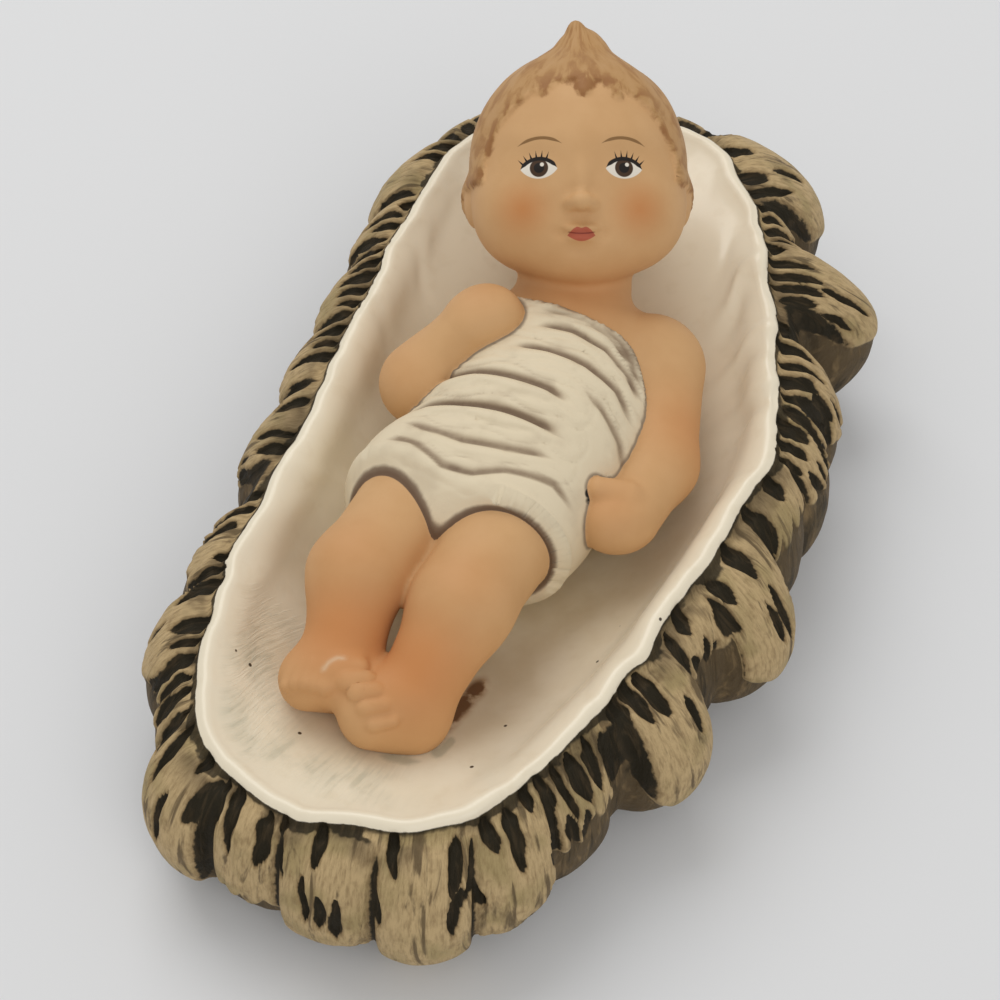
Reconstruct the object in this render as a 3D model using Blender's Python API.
"""Nativity baby lying in a straw manger bed: two slip-cast ceramic pieces.

Metres, +Z up. The feet point to -Y and the head to +Y. The origin is on the table, under the
middle of the bed.
"""

import math

import bmesh
import bpy
import numpy as np
from mathutils import Vector
from mathutils.bvhtree import BVHTree

# Manger: the hollow, which a white blanket lines
HOLLOW_LENGTH = 0.1415
HOLLOW_WIDTH = 0.0695
RIM_HEIGHT_AT_FEET = 0.026
RIM_HEIGHT_AT_HEAD = 0.034
FLOOR_THICKNESS = 0.011
PILLOW_RISE = 0.013
BLANKET_LIP = 0.005
BLANKET_THICKNESS = 0.0013
BLANKET_ANGLE = math.radians(40.0)

# Manger: the straw that hangs over the rim
STRAW_RUN_AT_SIDES = 0.0066
STRAW_RUN_AT_ENDS = 0.0056
STRAW_FOOT_INSET = 0.004
BUNDLE_REACH = 0.0120
STRAW_SWEEP = 0.0036
WISP_DEPTH = 0.0010
WISP_COUNT = 64
COLUMNS_PER_WISP = 3
WISP_DROP = 0.5

# Baby, on a carver's grid of 112 squares from the soles to the crown
BABY_LENGTH = 0.112
GRID = BABY_LENGTH / 112
SEAT_CLEARANCE = 0.0004
SEAT_DEPTH = 0.0012
BABY_TRIANGLES = 6000
SCULPT_VOXEL = 0.75
GRADIENT_STEP = 0.05
LEAST_STEEPNESS = 0.2
HIGH_ABOVE = 1.0

# The blanket's edge, as shares of the hollow's half width and half length, from the foot round
# the baby's left side to the head and back down its right side
HOLLOW_OUTLINE = (
    (-0.23, -1.02), (0.27, -0.94), (0.59, -0.68), (0.84, -0.31), (1.00, 0.07),
    (0.88, 0.39), (0.58, 0.76), (0.18, 0.94), (-0.46, 0.92), (-0.86, 0.74),
    (-0.97, 0.32), (-1.00, -0.13), (-1.04, -0.66), (-0.77, -0.96),
)

# Each bundle of straw: its place round the rim and its half width, both as shares of the way
# round, and how far it stands out past the rest, as a share of the furthest reach
BUNDLES = (
    (0.001, 0.021, 0.33), (0.037, 0.020, 0.50), (0.070, 0.018, 0.32), (0.104, 0.018, 0.20),
    (0.153, 0.022, 0.58), (0.186, 0.014, 0.15), (0.218, 0.024, 0.64), (0.259, 0.018, 0.22),
    (0.292, 0.018, 0.30), (0.326, 0.018, 0.38), (0.381, 0.021, 1.02), (0.408, 0.012, 0.22),
    (0.446, 0.026, 0.85), (0.490, 0.023, 0.28), (0.528, 0.021, 0.40), (0.566, 0.020, 0.33),
    (0.604, 0.022, 0.40), (0.643, 0.020, 0.30), (0.682, 0.021, 0.28), (0.722, 0.020, 0.30),
    (0.766, 0.024, 0.33), (0.830, 0.021, 0.25), (0.870, 0.021, 0.32), (0.902, 0.012, 0.12),
    (0.933, 0.019, 0.37), (0.968, 0.016, 0.18),
)

# The straw's section from the blanket out and down to the table: share of the run, share of the
# rim's height, how much of a bundle shows there, and how deep the wisps are cut
STRAW_SECTION = (
    (0.14, 0.935, 0.00, 0.0),
    (0.34, 0.940, 0.12, 1.0),
    (0.68, 0.850, 0.60, 1.0),
    (0.92, 0.650, 1.00, 1.0),
    (1.00, 0.420, 1.00, 1.0),
    (0.92, 0.250, 0.84, 0.8),
    (0.64, 0.100, 0.34, 0.3),
)

# The hollow's rings as shares of the way out, and how steeply its walls rise. The pillow rises
# from the middle over that share of the length
HOLLOW_RINGS = (0.24, 0.46, 0.66, 0.82)
HOLLOW_STEEPNESS = 2.6
PILLOW_SHARE = 0.35

# The blanket's rolled edge: how far inside the rim each ring is, as a share of the lip, and how
# far below it, as a share of the blanket's thickness
BLANKET_RINGS = ((0.55, 0.8), (0.20, 0.0), (0.0, 0.5))


def smoothstep(low, high, value):
    """Zero below low, one above high, and smooth between."""
    t = np.clip((value - low) / (high - low), 0.0, 1.0)
    return t * t * (3.0 - 2.0 * t)


def material(name, colour, roughness):
    """A Principled material with one colour."""
    made = bpy.data.materials.new(name)
    made.use_nodes = True
    shader = made.node_tree.nodes["Principled BSDF"]
    shader.inputs["Base Color"].default_value = (*colour, 1.0)
    shader.inputs["Roughness"].default_value = roughness
    return made


def object_from(name, mesh, surface):
    """An object that holds the mesh, in the scene."""
    mesh.materials.clear()
    mesh.materials.append(surface)
    made = bpy.data.objects.new(name, mesh)
    bpy.context.scene.collection.objects.link(made)
    return made


class Rim:
    """The blanket's edge as a closed curve, read by the share of the way round."""

    SAMPLES = 1440

    def __init__(self):
        knots = [
            (x * HOLLOW_WIDTH / 2, y * HOLLOW_LENGTH / 2) for x, y in HOLLOW_OUTLINE
        ]
        per_span = self.SAMPLES // len(knots) + 1
        points = []
        for index in range(len(knots)):
            before, start, end, after = (
                np.array(knots[(index + shift) % len(knots)]) for shift in (-1, 0, 1, 2)
            )
            for step in range(per_span):
                t = step / per_span
                points.append(
                    0.5
                    * (
                        2 * start
                        + (end - before) * t
                        + (2 * before - 5 * start + 4 * end - after) * t**2
                        + (3 * start - before - 3 * end + after) * t**3
                    )
                )
        self.points = np.array(points + points[:1])
        steps = np.linalg.norm(np.diff(self.points, axis=0), axis=1)
        self.length = steps.sum()
        self.travel = np.concatenate([[0.0], np.cumsum(steps)]) / self.length

    def at(self, share):
        """The point at that share of the way round, and the direction that points outwards."""
        place = [
            np.interp(share % 1.0, self.travel, self.points[:, axis]) for axis in (0, 1)
        ]
        step = 0.002
        ahead, behind = (
            [np.interp((share + side) % 1.0, self.travel, self.points[:, axis]) for axis in (0, 1)]
            for side in (step, -step)
        )
        along = Vector((ahead[0] - behind[0], ahead[1] - behind[1])).normalized()
        return Vector(place), Vector((along.y, -along.x))


def rim_height(y):
    """The rim rises towards the head."""
    share = min(1.0, max(0.0, y / HOLLOW_LENGTH + 0.5))
    return RIM_HEIGHT_AT_FEET + (RIM_HEIGHT_AT_HEAD - RIM_HEIGHT_AT_FEET) * share


def hollow_height(y, ring):
    """The height of the hollow's surface on a ring, which is 0 at the middle and 1 at the rim."""
    floor = FLOOR_THICKNESS + PILLOW_RISE * smoothstep(0.0, HOLLOW_LENGTH * PILLOW_SHARE, y)
    return floor + (rim_height(y) - floor) * ring**HOLLOW_STEEPNESS


def bundle_reach(share):
    """How far the bundle at that share of the way round stands out."""
    reach = 0.0
    for place, half_width, most in BUNDLES:
        away = abs((share - place + 0.5) % 1.0 - 0.5) / half_width
        if away < 1.0:
            reach = max(reach, BUNDLE_REACH * most * math.sqrt(1.0 - away**2))
    return reach


class Shell:
    """A closed skin that is stitched ring by ring."""

    def __init__(self):
        self.mesh = bmesh.new()

    def ring(self, points):
        return [self.mesh.verts.new(point) for point in points]

    def stitch(self, first, second):
        """Joins two rings, one of which may have a whole number of times as many points."""
        fine, coarse = (first, second) if len(first) >= len(second) else (second, first)
        ratio = len(fine) // len(coarse)
        for index, corner in enumerate(coarse):
            following = coarse[(index + 1) % len(coarse)]
            run = [fine[(index * ratio + step) % len(fine)] for step in range(ratio + 1)]
            middle = ratio // 2
            for step in range(ratio):
                self.mesh.faces.new(
                    (run[step], run[step + 1], corner if step <= middle else following)
                )
            self.mesh.faces.new((run[middle + 1], following, corner))

    def close(self, ring, point):
        """Fills a ring with a fan about a point."""
        tip = self.mesh.verts.new(point)
        for index, corner in enumerate(ring):
            self.mesh.faces.new((corner, ring[(index + 1) % len(ring)], tip))

    def finish(self, name):
        bmesh.ops.recalc_face_normals(self.mesh, faces=self.mesh.faces)
        made = bpy.data.meshes.new(name)
        self.mesh.to_mesh(made)
        self.mesh.free()
        return made


def straw_ring(rim, run_share, height_share, bundle_share, wisp_share):
    """One ring of the straw, with its bundles and the grooves between its wisps."""
    columns = WISP_COUNT * COLUMNS_PER_WISP
    points = []
    for column in range(columns):
        share = column / columns
        outward = rim.at(share)[1]
        sweep = STRAW_SWEEP / rim.length * run_share * outward.x
        edge, outward = rim.at(share - sweep)
        run = STRAW_RUN_AT_SIDES + (STRAW_RUN_AT_ENDS - STRAW_RUN_AT_SIDES) * outward.y**2
        reach = run * run_share + bundle_reach(share) * bundle_share
        if column % COLUMNS_PER_WISP == 0:
            reach -= WISP_DEPTH * wisp_share
        place = edge + outward * reach
        height = rim_height(edge.y) * height_share
        if column % COLUMNS_PER_WISP == 0:
            height -= WISP_DEPTH * WISP_DROP * wisp_share * height_share
        points.append((place.x, place.y, height))
    return points


def blanket_ring(rim, inset, drop):
    """One ring of the blanket's rolled edge, that far inside the rim and below it."""
    points = []
    for column in range(WISP_COUNT):
        edge, outward = rim.at(column / WISP_COUNT)
        place = edge - outward * inset
        points.append((place.x, place.y, rim_height(edge.y) - drop))
    return points


def hollow_ring(rim, ring):
    """One ring of the hollow, as a share of the way from its middle to the rim."""
    points = []
    for column in range(WISP_COUNT):
        edge, _ = rim.at(column / WISP_COUNT)
        place = edge * ring
        points.append((place.x, place.y, hollow_height(place.y, ring)))
    return points


def base_ring(rim):
    """The edge of the flat underside, set in from the widest straw."""
    points = []
    for column in range(WISP_COUNT):
        edge, outward = rim.at(column / WISP_COUNT)
        place = edge + outward * (STRAW_RUN_AT_ENDS - STRAW_FOOT_INSET)
        points.append((place.x, place.y, 0.0))
    return points


def manger_mesh():
    """The bed: a flat underside, straw outside, and the blanket's rolled edge and hollow inside."""
    rim = Rim()
    shell = Shell()
    rings = [hollow_ring(rim, ring) for ring in HOLLOW_RINGS]
    for inset, drop in BLANKET_RINGS:
        rings.append(blanket_ring(rim, BLANKET_LIP * inset, BLANKET_THICKNESS * drop))
    rings += [straw_ring(rim, *section) for section in STRAW_SECTION]
    rings.append(base_ring(rim))
    made = [shell.ring(points) for points in rings]
    for first, second in zip(made, made[1:]):
        shell.stitch(first, second)
    shell.close(made[0], (0.0, 0.0, hollow_height(0.0, 0.0)))
    shell.close(made[-1], (0.0, 0.0, 0.0))
    bed = shell.finish("straw_manger")
    bed.shade_smooth()
    bed.set_sharp_from_angle(angle=BLANKET_ANGLE)
    return bed


# The baby. Its places and sizes are squares of the carver's grid, with the height counted from
# the table under a bed of the usual size.
SEAT = Vector((-7.0, -17.0, 11.0))
HEAD_CENTRE = np.array((-5.2, 38.2, 46.5))
HEAD_TURN = math.radians(17.0)
HEAD_LIFT = math.radians(52.0)


def head_axes():
    """The head's own axes as rows: to its left, to its crown, and out of its face."""
    face = np.array(
        (
            math.sin(HEAD_TURN) * math.cos(HEAD_LIFT),
            -math.cos(HEAD_TURN) * math.cos(HEAD_LIFT),
            math.sin(HEAD_LIFT),
        )
    )
    left = np.array((math.cos(HEAD_TURN), math.sin(HEAD_TURN), 0.0))
    return np.array((left, np.cross(face, left), face))


HEAD_AXES = head_axes()
SKULL_MIDDLE = (0.0, 0.5, -0.5)
SKULL_RADII = (16.6, 17.8, 16.6)
UPRIGHT = np.eye(3)


class Ball:
    """An ellipsoid with its own axes."""

    def __init__(self, centre, radii, axes=UPRIGHT):
        self.centre = np.array(centre, float)
        self.radii = np.array(radii, float)
        self.axes = np.array(axes)

    def depth(self, points):
        """About the distance to the surface, which is negative inside."""
        local = (points - self.centre) @ self.axes.T
        near = np.linalg.norm(local / self.radii, axis=1)
        slope = np.linalg.norm(local / self.radii**2, axis=1)
        return near * (near - 1.0) / np.maximum(slope, 1e-6)

    def blank(self, shape):
        """Adds a rough copy to a bmesh."""
        made = bmesh.ops.create_icosphere(shape, subdivisions=3, radius=1.0)
        for vert in made["verts"]:
            vert.co = Vector(self.centre + (np.array(vert.co) * self.radii) @ self.axes)


class Limb:
    """A round bar whose radius changes evenly from one end to the other."""

    def __init__(self, start, end, start_radius, end_radius):
        self.start = np.array(start, float)
        self.end = np.array(end, float)
        self.radii = (start_radius, end_radius)

    def depth(self, points):
        along = self.end - self.start
        share = np.clip((points - self.start) @ along / (along @ along), 0.0, 1.0)
        middle = self.start + share[:, None] * along
        radius = self.radii[0] + (self.radii[1] - self.radii[0]) * share
        return np.linalg.norm(points - middle, axis=1) - radius

    def blank(self, shape):
        beads = 2 + int(np.linalg.norm(self.end - self.start) / min(self.radii) * 2)
        for bead in range(beads):
            share = bead / (beads - 1)
            centre = self.start + (self.end - self.start) * share
            radius = self.radii[0] + (self.radii[1] - self.radii[0]) * share
            Ball(centre, (radius,) * 3).blank(shape)


def on_head(across, up, out, radii):
    """A ball placed and turned in the head's own axes."""
    return Ball(HEAD_CENTRE + np.array((across, up, out)) @ HEAD_AXES, radii, HEAD_AXES)


def head_point(across, up, out):
    return HEAD_CENTRE + np.array((across, up, out)) @ HEAD_AXES


def on_scalp(across, up):
    """A point on the skull's surface, above the face."""
    middle, radii = SKULL_MIDDLE, SKULL_RADII
    share = ((across - middle[0]) / radii[0]) ** 2 + ((up - middle[1]) / radii[1]) ** 2
    return head_point(across, up, middle[2] + radii[2] * math.sqrt(1.0 - share))


def toes(first, last, along, radius):
    """Five toes from the big one to the little one, each a bar from its tip back along the foot."""
    made = []
    for index in range(TOE_COUNT):
        tip = np.array(first) + (np.array(last) - np.array(first)) * index / (TOE_COUNT - 1)
        size = radius * (1.0 - TOE_SHRINK * index)
        made.append(Limb(tip, tip + np.array(along), size, size * TOE_TAPER))
    return made


TOE_COUNT = 5
TOE_SHRINK = 0.07
TOE_TAPER = 0.75
HEAD = [
    on_head(*SKULL_MIDDLE, SKULL_RADII),
    on_head(-7.5, -7.5, 5.0, (8.5, 8.0, 8.5)),
    on_head(7.5, -7.5, 5.0, (8.5, 8.0, 8.5)),
    on_head(0.0, -12.5, 7.0, (6.5, 5.5, 6.5)),
]
EARS = [on_head(side * 15.9, -4.5, -1.5, (2.0, 4.2, 3.2)) for side in (-1, 1)]
NOSE = [on_head(0.0, -5.6, 16.0, (2.2, 1.8, 2.0)), on_head(0.0, -2.5, 15.0, (1.4, 3.0, 1.5))]
LIPS = [on_head(0.0, -10.6, 14.6, (2.6, 0.9, 1.2)), on_head(0.0, -12.3, 14.2, (2.1, 1.0, 1.2))]
TUFT = [
    Limb(head_point(0.0, 13.0, 0.0), head_point(0.5, 19.0, 0.5), 8.0, 2.6),
    Limb(head_point(0.5, 19.0, 0.5), head_point(-0.4, 22.0, 1.0), 2.6, 0.9),
]
FORELOCK = [
    Limb(on_scalp(0.0, 16.0), on_scalp(-10.2, 11.4), 1.9, 0.8),
    Limb(on_scalp(0.5, 15.2), on_scalp(-5.8, 10.8), 1.8, 0.8),
    Limb(on_scalp(1.0, 15.6), on_scalp(0.4, 10.6), 1.9, 0.8),
    Limb(on_scalp(0.8, 16.0), on_scalp(5.4, 10.0), 2.0, 0.7),
]
NECK = [Limb(head_point(0.0, -12.0, -4.0), (0.0, 16.0, 29.5), 8.8, 9.5)]
SHOULDERS = [Limb((-10.0, 14.5, 30.0), (12.5, 17.3, 30.0), 7.5, 7.5)]
RIGHT_ARM = [
    Limb((-12.0, 14.0, 31.0), (-19.6, 2.5, 30.5), 6.6, 6.2),
    Limb((-19.6, 2.5, 30.5), (-14.0, 8.5, 38.0), 6.0, 4.8),
    Ball((-11.6, 11.2, 39.8), (5.5, 4.9, 4.3)),
]
LEFT_ARM = [
    Limb((14.5, 16.4, 29.8), (18.4, 0.0, 27.3), 7.0, 6.2),
    Limb((18.4, 0.0, 27.3), (17.0, -11.3, 28.2), 6.0, 5.0),
    Ball((15.0, -13.7, 29.0), (5.4, 4.8, 4.9)),
    Limb((16.5, -11.2, 32.0), (12.4, -12.0, 33.6), 2.6, 1.9),
]
TORSO = [
    Ball((1.0, 6.0, 28.0), (15.0, 13.5, 11.8)),
    Ball((-2.0, -5.0, 27.0), (15.6, 13.0, 12.6)),
    Ball((-7.5, -16.5, 24.5), (16.4, 11.0, 13.2)),
]
RIGHT_THIGH = Limb((-13.0, -15.0, 27.5), (-17.4, -34.5, 30.0), 8.6, 6.8)
LEFT_THIGH = Limb((1.0, -15.0, 27.5), (-1.2, -35.5, 30.0), 9.0, 7.1)
RIGHT_LEG = [
    RIGHT_THIGH,
    Limb((-17.4, -34.5, 30.0), (-15.9, -46.0, 25.5), 6.8, 5.6),
]
LEFT_LEG = [
    LEFT_THIGH,
    Limb((-1.2, -35.5, 30.0), (-4.0, -48.5, 25.0), 7.1, 5.6),
]
RIGHT_FOOT = [
    Limb((-15.5, -47.0, 21.5), (-19.5, -50.5, 24.0), 5.0, 4.2),
    Ball((-17.5, -50.5, 26.0), (5.5, 4.0, 3.2)),
]
LEFT_FOOT = [
    Limb((-4.2, -50.5, 20.8), (-9.0, -53.0, 23.5), 5.2, 4.8),
    Ball((-9.5, -52.0, 25.5), (5.0, 4.2, 4.0)),
]
RIGHT_TOES = toes((-15.8, -52.9, 28.0), (-21.4, -53.5, 26.7), (0.2, 2.6, 1.0), 1.4)
LEFT_TOES = toes((-14.4, -50.4, 28.8), (-7.6, -56.2, 26.8), (2.6, 1.0, 0.5), 1.6)

# What is built up on each group: forms, how far they melt into each other, and how far they
# melt into the group
HEAD_MELT = 5.0
ON_HEAD = ((EARS, 0.5, 1.0), (NOSE, 1.0, 1.2), (LIPS, 0.4, 0.8), (TUFT, 1.5, 4.0))
ON_HAIR = ((FORELOCK, 0.6, 1.0),)
TORSO_MELT = 8.0
ON_TORSO = ((SHOULDERS, 1.0, 6.0),)
ON_TRUNK = ((NECK, 1.0, 4.0),)
HEAD_TO_BODY_MELT = 1.5
LEG_MELT = 3.0
ON_RIGHT_LEG = ((RIGHT_FOOT, 2.0, 4.0), (RIGHT_TOES, 0.3, 0.7))
ON_LEFT_LEG = ((LEFT_FOOT, 2.0, 4.0), (LEFT_TOES, 0.3, 0.7))

# The hair is a cap that stands off the skull outside an oval round the face, down to the ears in
# front and to the nape behind
HAIR_THICKNESS = 0.7
HAIR_EDGE = (-0.5, 0.5)
FACE_OVAL = (0.0, -3.0, 14.8, 15.4)
HAIR_ENDS = (-3.0, -12.0)
HAIR_DROPS_BEHIND = (1.0, 7.0)

# The wrap stands off the skin by its thickness. Its top edge is a slanted cut: a point on the cut
# and the way off the cloth. Past the corner the cut bends down beside the left arm
WRAP_THICKNESS = 1.3
WRAP_TOP = np.array((-1.4, 15.4, 40.0))
WRAP_TOP_OFF = np.array((0.15, 1.0, 0.10)) / np.linalg.norm((0.15, 1.0, 0.10))
WRAP_CORNER = 6.0
WRAP_CORNER_BEND = 0.011

# The arms melt into the shoulders, and lie against the wrap with a crisp seam. The change from
# the one to the other is spread over those distances from the wrap's top edge
ARM_JOINT_MELT = 2.5
ARM_MELT = 3.0
ARM_SEAM = 0.4
ARM_MELTS_OVER = (-2.0, 3.0)
LEGS_MELT = 2.0

# Each leg of the wrap ends in a rolled hem: the thigh, how far along it the hem is, as a share,
# and how far the hem stands off the skin
HEMS = ((RIGHT_THIGH, 0.20, 2.3), (LEFT_THIGH, 0.36, 2.4))
HEM_ROLL = 1.3
HEM_ROLL_SINK = 0.6
HEM_ROLL_BACK = 0.4
HEM_ROLL_MELT = 0.6
HEM_MELT = 3.0

# Each fold of the wrap: how deep it is, and its path across the body from the baby's right side
FOLDS = (
    (0.5, ((-5.5, 13.4), (3.0, 13.3), (8.8, 12.3), (12.8, 8.8))),
    (0.7, ((6.2, 12.0), (11.5, 9.6), (14.2, 5.8))),
    (1.0, ((-4.8, 10.6), (1.9, 10.7), (7.6, 9.4), (11.8, 6.8), (14.8, 3.0))),
    (1.0, ((-7.2, 5.6), (-0.3, 5.5), (5.6, 4.8), (11.0, 3.0), (15.0, -1.0))),
    (1.1, ((-19.0, -1.6), (-15.2, 0.0), (-9.9, -0.2), (-3.0, -1.3), (1.7, -1.9), (6.2, -3.4))),
    (0.8, ((5.8, 0.6), (9.9, -1.5), (13.4, -4.0), (15.4, -8.0))),
    (1.2, ((-19.5, -6.6), (-15.5, -6.1), (-9.6, -6.9), (-3.0, -7.3), (6.6, -8.4))),
    (0.9, ((-18.5, -10.6), (-14.3, -12.4), (-7.8, -13.8), (-1.5, -13.6), (6.2, -12.4))),
    (0.9, ((-21.0, -14.2), (-15.2, -15.4), (-9.5, -18.6), (-4.8, -18.8), (-0.3, -17.2),
           (6.7, -16.2), (11.5, -18.2))),
)
FOLD_FADE = 3.0
FOLD_ABOVE = 0.9
FOLD_BELOW = 0.7
FOLD_ROLL = 0.35
FOLD_ROLL_PLACE = 1.8
FOLD_HEIGHTS = (24.0, 30.0)


def nearest(shapes, points, soft):
    """The depth in shapes that melt into each other over that distance."""
    depth = shapes[0].depth(points)
    for shape in shapes[1:]:
        depth = melt(depth, shape.depth(points), soft)
    return depth


def melt(first, second, soft):
    """A smooth minimum of two depths."""
    share = np.clip(0.5 + 0.5 * (second - first) / soft, 0.0, 1.0)
    return second + (first - second) * share - soft * share * (1.0 - share)


def side_of_path(spots, path):
    """How far each spot on the plan is from a path, positive on the side nearer the head."""
    side = np.full(len(spots), np.inf)
    for start, end in zip(path, path[1:]):
        start = np.array(start)
        along = np.array(end) - start
        share = np.clip((spots - start) @ along / (along @ along), 0.0, 1.0)
        away = spots - start - share[:, None] * along
        distance = np.hypot(away[:, 0], away[:, 1])
        distance *= np.where(along[0] * away[:, 1] < along[1] * away[:, 0], -1.0, 1.0)
        side = np.where(np.abs(distance) < np.abs(side), distance, side)
    return side


def fold_depth(points):
    """How far the wrap is carved in at each point, with the roll that each fold leaves below it."""
    spots = points[:, :2]
    carved = np.zeros(len(points))
    for most, path in FOLDS:
        side = side_of_path(spots, path)
        fade = 1.0
        for end in (path[0], path[-1]):
            fade = fade * smoothstep(0.0, FOLD_FADE, np.linalg.norm(spots - end, axis=1))
        valley = np.exp(-(np.where(side > 0.0, side / FOLD_ABOVE, side / FOLD_BELOW) ** 2))
        roll = FOLD_ROLL * np.exp(-((side + FOLD_ROLL_PLACE) ** 2))
        carved += most * fade * (valley - roll)
    return carved * smoothstep(*FOLD_HEIGHTS, points[:, 2])


def hair_cover(points):
    """About how far inside the hair each point is, which is negative on bare skin."""
    across, up, out = ((points - HEAD_CENTRE) @ HEAD_AXES.T).T
    x, y, half_width, half_height = FACE_OVAL
    oval = np.hypot((across - x) / half_width, (up - y) / half_height)
    off_face = (oval - 1.0) * half_width + np.maximum(-out, 0.0)
    front, back = HAIR_ENDS
    lowest = front + (back - front) * smoothstep(*HAIR_DROPS_BEHIND, -out)
    return np.minimum(off_face, up - lowest)


def hemmed_leg(points, thigh, share, stand_off):
    """A leg of the wrap, which stands off the thigh and ends in a rolled hem."""
    along = thigh.end - thigh.start
    direction = along / np.linalg.norm(along)
    centre = thigh.start + along * share
    radius = thigh.radii[0] + (thigh.radii[1] - thigh.radii[0]) * share
    past = (points - centre) @ direction
    leg = np.maximum(thigh.depth(points) - stand_off, past)
    out = np.linalg.norm(points - centre - past[:, None] * direction, axis=1)
    ring = radius + stand_off - HEM_ROLL * HEM_ROLL_SINK
    roll = np.hypot(out - ring, past + HEM_ROLL * HEM_ROLL_BACK) - HEM_ROLL
    return melt(leg, roll, HEM_ROLL_MELT)


def past_wrap_top(points):
    """How far each point is past the wrap's top edge, which is negative on the cloth."""
    bend = np.maximum(points[:, 0] - WRAP_CORNER, 0.0) ** 3
    return (points - WRAP_TOP) @ WRAP_TOP_OFF + WRAP_CORNER_BEND * bend


def wrap_depth(points, body):
    """The distance to the cloth that is wound round the body and both hips."""
    wrap = body - WRAP_THICKNESS + fold_depth(points)
    for hem in HEMS:
        wrap = melt(wrap, hemmed_leg(points, *hem), HEM_MELT)
    return np.maximum(wrap, past_wrap_top(points))


def built_up(depth, points, additions):
    """The depth after each group of forms in the list is melted on."""
    for forms, within, onto in additions:
        depth = melt(depth, nearest(forms, points, within), onto)
    return depth


def baby_depth(points):
    """The distance to the baby's surface, from all its forms together."""
    head = built_up(nearest(HEAD, points, HEAD_MELT), points, ON_HEAD)
    head -= HAIR_THICKNESS * smoothstep(*HAIR_EDGE, hair_cover(points))
    head = built_up(head, points, ON_HAIR)
    trunk = built_up(nearest(TORSO, points, TORSO_MELT), points, ON_TORSO)
    body = built_up(trunk, points, ON_TRUNK)
    soft = ARM_SEAM + (ARM_MELT - ARM_SEAM) * smoothstep(*ARM_MELTS_OVER, past_wrap_top(points))
    arms = [
        melt(nearest(arm, points, ARM_JOINT_MELT), trunk, soft) for arm in (RIGHT_ARM, LEFT_ARM)
    ]
    right_leg = built_up(nearest(RIGHT_LEG, points, LEG_MELT), points, ON_RIGHT_LEG)
    left_leg = built_up(nearest(LEFT_LEG, points, LEG_MELT), points, ON_LEFT_LEG)
    legs = melt(right_leg, left_leg, LEGS_MELT)
    skin = melt(body, head, HEAD_TO_BODY_MELT)
    return np.minimum.reduce([skin, *arms, legs, wrap_depth(points, body)])


def pull_to_surface(points, rounds=8, longest_step=0.8):
    """Moves points onto the baby's surface."""
    shifts = np.eye(3) * GRADIENT_STEP
    for _ in range(rounds):
        depth = baby_depth(points)
        slope = np.stack(
            [baby_depth(points + shift) - baby_depth(points - shift) for shift in shifts],
            axis=1,
        ) / (2 * GRADIENT_STEP)
        steepness = np.maximum((slope**2).sum(axis=1), LEAST_STEEPNESS)
        step = np.clip(depth / steepness, -longest_step, longest_step)
        points = points - slope * step[:, None]
    return points


def evaluated_mesh(mesh, *modifiers):
    """The mesh after those modifiers, each a type and its settings."""
    holder = bpy.data.objects.new("blank", mesh)
    bpy.context.scene.collection.objects.link(holder)
    for kind, settings in modifiers:
        modifier = holder.modifiers.new(kind, kind)
        for name, value in settings.items():
            setattr(modifier, name, value)
    graph = bpy.context.evaluated_depsgraph_get()
    made = bpy.data.meshes.new_from_object(holder.evaluated_get(graph))
    bpy.data.objects.remove(holder)
    return made


def coordinates(mesh):
    flat = np.empty(len(mesh.vertices) * 3)
    mesh.vertices.foreach_get("co", flat)
    return flat.reshape(-1, 3)


def set_coordinates(mesh, points):
    mesh.vertices.foreach_set("co", points.ravel())
    mesh.update()


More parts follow.
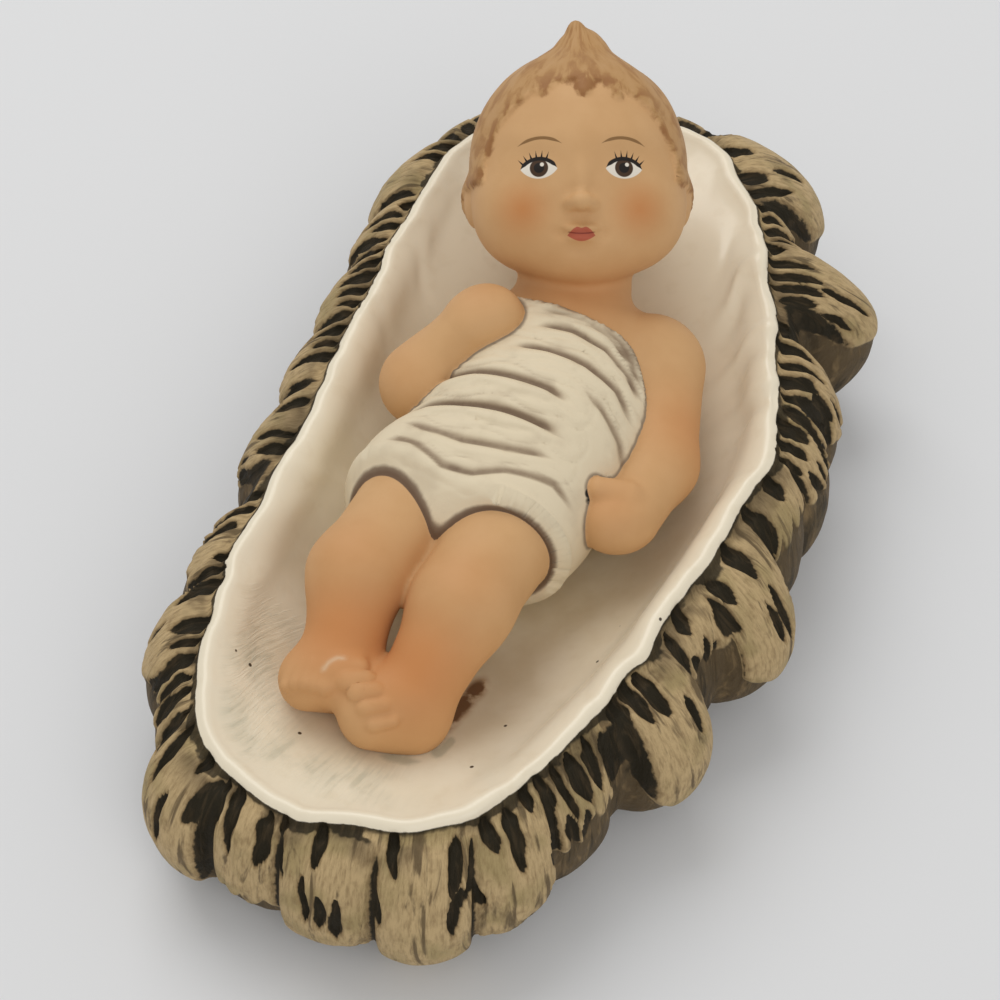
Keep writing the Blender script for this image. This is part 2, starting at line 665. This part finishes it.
def baby_blank():
    """One closed skin round all the baby's forms, before they melt together."""
    shape = bmesh.new()
    groups = (
        HEAD, EARS, NOSE, LIPS, TUFT, FORELOCK, NECK, SHOULDERS, RIGHT_ARM, LEFT_ARM, TORSO,
        RIGHT_LEG, LEFT_LEG, RIGHT_FOOT, LEFT_FOOT, RIGHT_TOES, LEFT_TOES,
    )
    for group in groups:
        for form in group:
            form.blank(shape)
    rough = bpy.data.meshes.new("rough")
    shape.to_mesh(rough)
    shape.free()
    return evaluated_mesh(rough, ("REMESH", {"mode": "VOXEL", "voxel_size": SCULPT_VOXEL}))


def bed_top(bed, x, y):
    """The highest point of the bed there, or None."""
    return bed.ray_cast(Vector((x, y, HIGH_ABOVE)), Vector((0.0, 0.0, -1.0)))[0]


def seat_on(points, bed):
    """Lifts whatever is lower than the bed's surface to the clearance above it."""
    for point in points:
        top = bed_top(bed, point[0], point[1])
        if top is not None:
            point[2] = max(point[2], top.z + SEAT_CLEARANCE)
    return points


def baby_mesh(manger):
    """The baby, carved, laid in the bed and trimmed where it rests."""
    mesh = baby_blank()
    points = pull_to_surface(coordinates(mesh))
    set_coordinates(mesh, points)
    mesh = evaluated_mesh(mesh, ("SMOOTH", {"factor": 0.3, "iterations": 1}))
    bed = BVHTree.FromPolygons(
        [vertex.co for vertex in manger.vertices],
        [tuple(face.vertices) for face in manger.polygons],
    )
    seat = bed_top(bed, SEAT.x * GRID, SEAT.y * GRID)
    seat.z -= SEAT_DEPTH
    points = (coordinates(mesh) - np.array(SEAT)) * GRID + np.array(seat)
    set_coordinates(mesh, seat_on(points, bed))
    ratio = BABY_TRIANGLES / (2 * len(mesh.polygons))
    mesh = evaluated_mesh(mesh, ("TRIANGULATE", {}), ("DECIMATE", {"ratio": ratio}))
    set_coordinates(mesh, seat_on(coordinates(mesh), bed))
    mesh.name = "baby_figure"
    mesh.shade_smooth()
    return mesh


def main():
    for leftover in list(bpy.data.objects):
        bpy.data.objects.remove(leftover)
    glaze = material("straw_and_glaze", (0.42, 0.33, 0.20), 0.45)
    bisque = material("painted_bisque", (0.74, 0.47, 0.31), 0.60)
    manger = manger_mesh()
    baby = baby_mesh(manger)
    spread = coordinates(manger)
    middle = (spread.min(axis=0) + spread.max(axis=0)) / 2
    for name, mesh, surface in (("straw_manger", manger, glaze), ("baby_figure", baby, bisque)):
        placed = object_from(name, mesh, surface)
        placed.location = (-middle[0], -middle[1], 0.0)


main()
